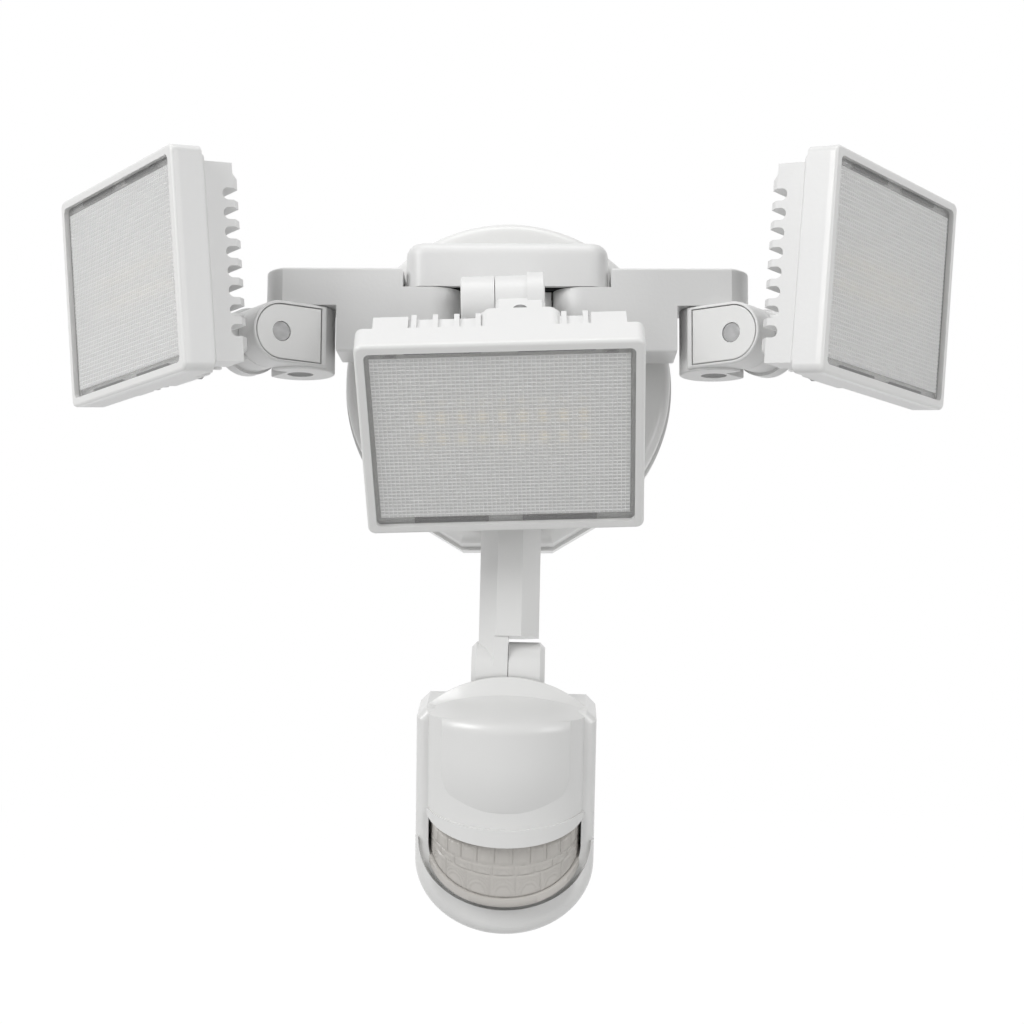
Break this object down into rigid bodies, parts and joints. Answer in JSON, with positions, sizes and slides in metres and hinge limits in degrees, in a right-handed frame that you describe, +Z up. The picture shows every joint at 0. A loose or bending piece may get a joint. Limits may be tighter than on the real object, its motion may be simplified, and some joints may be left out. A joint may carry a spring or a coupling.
{
  "type": "motion sensor security light",
  "caption": "Wall-mounted outdoor security light: round canopy, two side arms, tilting flat LED heads on swivel knuckles, and a motion sensor hanging on a stem.",
  "frame": {"origin": "centre of the canopy's back, on the wall, midway between the two junction-box screws", "axes": "+Y into the wall, -Y out of the wall towards the viewer, +Z up, +X to the viewer's right"},
  "size_m": [0.3348, 0.1379, 0.2709],
  "materials": {
    "white_cast": "white powder coat on die-cast aluminium",
    "white_plastic": "white satin-gloss moulded plastic",
    "clear_lens": "clear sheet with a fine grid of prisms",
    "milky_lens": "thin milky sheet with moulded lenslets",
    "silicone": "pale silicone",
    "grey_rubber": "grey rubber",
    "grey_plastic": "grey moulded plastic",
    "steel": "zinc-plated steel",
    "white_screw": "white painted screw",
    "white_board": "white solder mask on aluminium board",
    "emitter": "yellow phosphor",
    "driver_case": "black potted case",
    "green_board": "green circuit board",
    "can": "plated metal can"
  },
  "bodies": {
    "fixture": {"crossbar": "steel", "wall_gasket": "grey_rubber", "canopy_base": "white_plastic", "canopy_cover": "white_plastic", "canopy_screws": "white_screw", "driver_box": "white_cast", "led_driver": "driver_case", "left_arm": "white_cast", "right_arm": "white_cast", "arm_screws": "steel", "swivel_screws": "steel"},
    "left_knuckle": {"left_knuckle": "white_cast", "left_knuckle_plate": "white_plastic", "left_tilt_bolt": "steel", "left_knuckle_plug": "grey_rubber"},
    "left_head": {"left_bracket": "white_cast", "left_heat_sink": "white_cast", "left_bezel": "white_plastic", "left_lens": "clear_lens", "left_lens_seal": "silicone", "left_led_board": "white_board", "left_leds": "emitter", "left_screws": "steel"},
    "right_knuckle": {"right_knuckle": "white_cast", "right_knuckle_plate": "white_plastic", "right_tilt_bolt": "steel", "right_knuckle_plug": "grey_rubber"},
    "right_head": {"right_bracket": "white_cast", "right_heat_sink": "white_cast", "right_bezel": "white_plastic", "right_lens": "clear_lens", "right_lens_seal": "silicone", "right_led_board": "white_board", "right_leds": "emitter", "right_screws": "steel"},
    "centre_knuckle": {"centre_knuckle": "white_cast", "centre_knuckle_plate": "white_plastic", "centre_tilt_bolt": "steel", "centre_knuckle_plug": "grey_rubber"},
    "centre_head": {"centre_bracket": "white_cast", "centre_heat_sink": "white_cast", "centre_bezel": "white_plastic", "centre_lens": "clear_lens", "centre_lens_seal": "silicone", "centre_led_board": "white_board", "centre_leds": "emitter", "centre_screws": "steel"},
    "stem": {"sensor_stem": "white_plastic", "stem_nut": "grey_plastic", "hinge_screw": "steel"},
    "sensor": {"sensor_shell": "white_plastic", "sensor_front": "white_plastic", "sensor_lens": "milky_lens", "sensor_board": "green_board", "pir_detector": "can"},
    "time_dial": {"time_dial": "grey_plastic"},
    "range_dial": {"range_dial": "grey_plastic"},
    "dusk_dial": {"dusk_dial": "grey_plastic"}
  },
  "joints": [
    {"name": "left_swivel", "type": "hinge", "parent": "fixture", "child": "left_knuckle", "pos_m": [-0.0771, -0.0485, 0.01095], "axis": [0, 0, 1], "range_deg": [-30, 27]},
    {"name": "left_tilt", "type": "hinge", "parent": "left_knuckle", "child": "left_head", "pos_m": [-0.0898, -0.05739, 0.01095], "axis": [0.5736, -0.8192, 0], "range_deg": [-35, 50]},
    {"name": "right_swivel", "type": "hinge", "parent": "fixture", "child": "right_knuckle", "pos_m": [0.0771, -0.0485, 0.01095], "axis": [0, 0, 1], "range_deg": [-27, 30]},
    {"name": "right_tilt", "type": "hinge", "parent": "right_knuckle", "child": "right_head", "pos_m": [0.0898, -0.05739, 0.01095], "axis": [0.5736, 0.8192, 0], "range_deg": [-35, 50]},
    {"name": "centre_swivel", "type": "hinge", "parent": "fixture", "child": "centre_knuckle", "pos_m": [-0.0016, -0.0677, 0.0165], "axis": [-0.0297, 0, 0.9996], "range_deg": [-20, 20]},
    {"name": "centre_tilt", "type": "hinge", "parent": "centre_knuckle", "child": "centre_head", "pos_m": [-0.0016, -0.0832, 0.0165], "axis": [0.9996, 0, 0.0297], "range_deg": [-60, 8]},
    {"name": "sensor_pan", "type": "hinge", "parent": "fixture", "child": "stem", "pos_m": [0.0012, -0.046, -0.111], "axis": [0.0157, 0, 0.9999], "range_deg": [-80, 80]},
    {"name": "sensor_tilt", "type": "hinge", "parent": "stem", "child": "sensor", "pos_m": [0.0012, -0.046, -0.111], "axis": [0.9999, 0, -0.0157], "range_deg": [-35, 6]},
    {"name": "time_turn", "type": "hinge", "parent": "sensor", "child": "time_dial", "pos_m": [-0.01205, -0.0235, -0.1907], "axis": [0.0152, -0.2588, 0.9658], "range_deg": [-135, 135]},
    {"name": "range_turn", "type": "hinge", "parent": "sensor", "child": "range_dial", "pos_m": [-0.00006, -0.0235, -0.19089], "axis": [0.0152, -0.2588, 0.9658], "range_deg": [-135, 135]},
    {"name": "dusk_turn", "type": "hinge", "parent": "sensor", "child": "dusk_dial", "pos_m": [0.01194, -0.0235, -0.19108], "axis": [0.0152, -0.2588, 0.9658], "range_deg": [-135, 135]}
  ]
}
